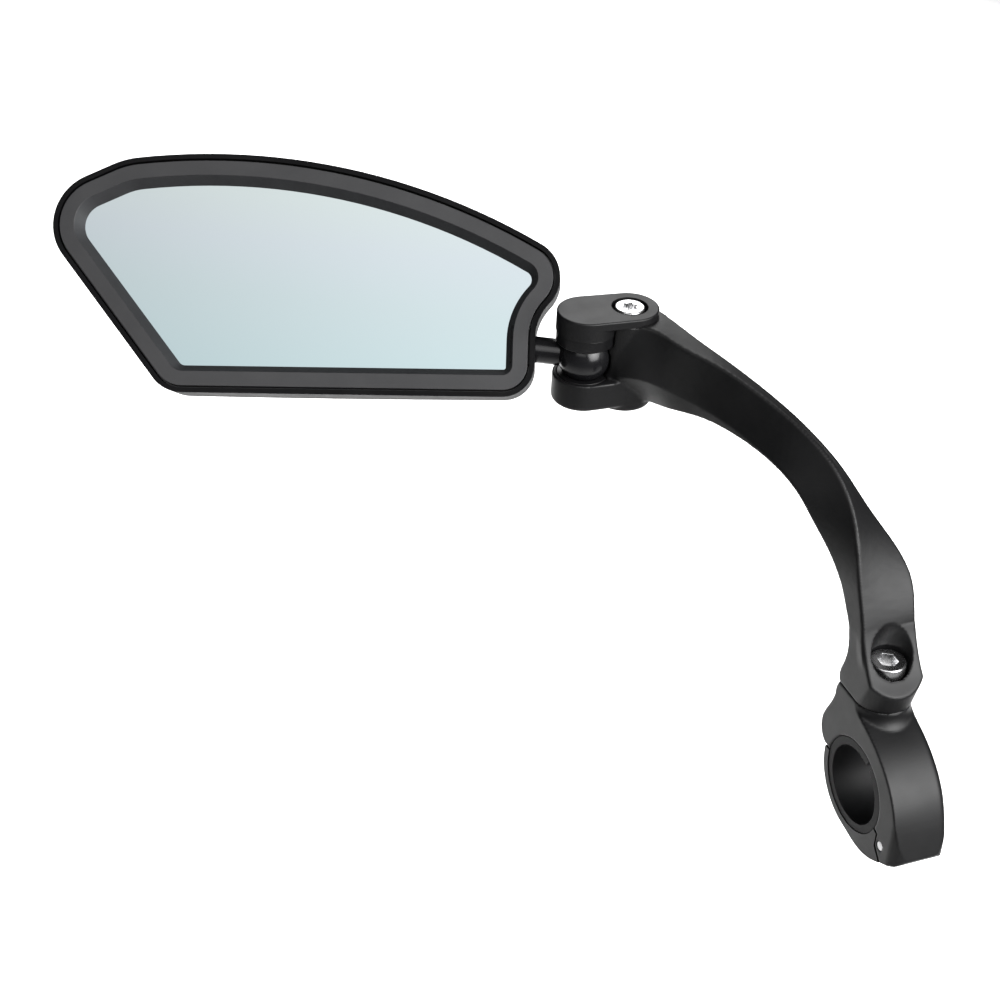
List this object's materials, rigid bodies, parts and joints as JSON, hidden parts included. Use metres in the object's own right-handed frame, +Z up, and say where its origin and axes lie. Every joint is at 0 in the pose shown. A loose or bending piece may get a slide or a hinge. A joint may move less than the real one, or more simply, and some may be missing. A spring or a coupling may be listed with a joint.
{
  "type": "handlebar mirror",
  "caption": "Left-hand bicycle handlebar mirror: hinged clamp, curved swinging arm, ball joint and long tapered glass in a bezel.",
  "frame": {"origin": "centre of the handlebar bore, at the middle of the clamp's width", "axes": "X along the handlebar with -X outboard, -Y towards the rider, +Z up"},
  "size_m": [0.1931, 0.2214, 0.1412],
  "materials": {
    "clamp_nylon": "fine-textured glass-filled nylon, black",
    "arm_nylon": "fine-textured glass-filled nylon, black",
    "housing_plastic": "fine-textured black plastic",
    "bezel_plastic": "satin dark grey plastic",
    "seat_acetal": "smooth moulded acetal, black",
    "ball_nylon": "polished black",
    "steel": "bright plated steel",
    "screw_black": "black oxide",
    "shim_rubber": "smooth black rubber",
    "pad_foam": "closed-cell foam, grey",
    "glass": "silvered flat glass with a pale blue tint"
  },
  "bodies": {
    "clamp": {"clamp_body": "clamp_nylon", "clamp_strap": "clamp_nylon", "clamp_hinge_pin": "steel", "clamp_bolt": "steel", "clamp_nut": "steel", "handlebar_shim": "shim_rubber", "pivot_screw": "steel", "pivot_washer": "steel", "pivot_nut": "steel"},
    "arm": {"arm": "arm_nylon", "ball_cap": "arm_nylon", "cap_screw": "steel", "cap_nut": "steel"},
    "seats": {"upper_ball_seat": "seat_acetal", "lower_ball_seat": "seat_acetal"},
    "ball": {"ball": "ball_nylon"},
    "head": {"ball_stem": "ball_nylon", "stem_pin": "steel", "mirror_housing": "housing_plastic", "mirror_bezel": "bezel_plastic", "mirror_glass": "glass", "glass_backing_pad": "pad_foam", "housing_screws": "screw_black"}
  },
  "joints": [
    {"name": "arm_swivel", "type": "hinge", "parent": "clamp", "child": "arm", "pos_m": [0, 0.0062, 0.027], "axis": [0, 0, 1], "continuous": true},
    {"name": "head_turn", "type": "hinge", "parent": "arm", "child": "seats", "pos_m": [-0.0517, 0.101, 0.0862], "axis": [0, 0, 1], "range_deg": [-45, 80]},
    {"name": "head_nod", "type": "hinge", "parent": "seats", "child": "ball", "pos_m": [-0.0517, 0.101, 0.0862], "axis": [-0.5, -0.866, 0], "range_deg": [-7, 7]},
    {"name": "head_roll", "type": "hinge", "parent": "ball", "child": "head", "pos_m": [-0.0517, 0.101, 0.0862], "axis": [-0.866, 0.5, 0], "continuous": true}
  ]
}
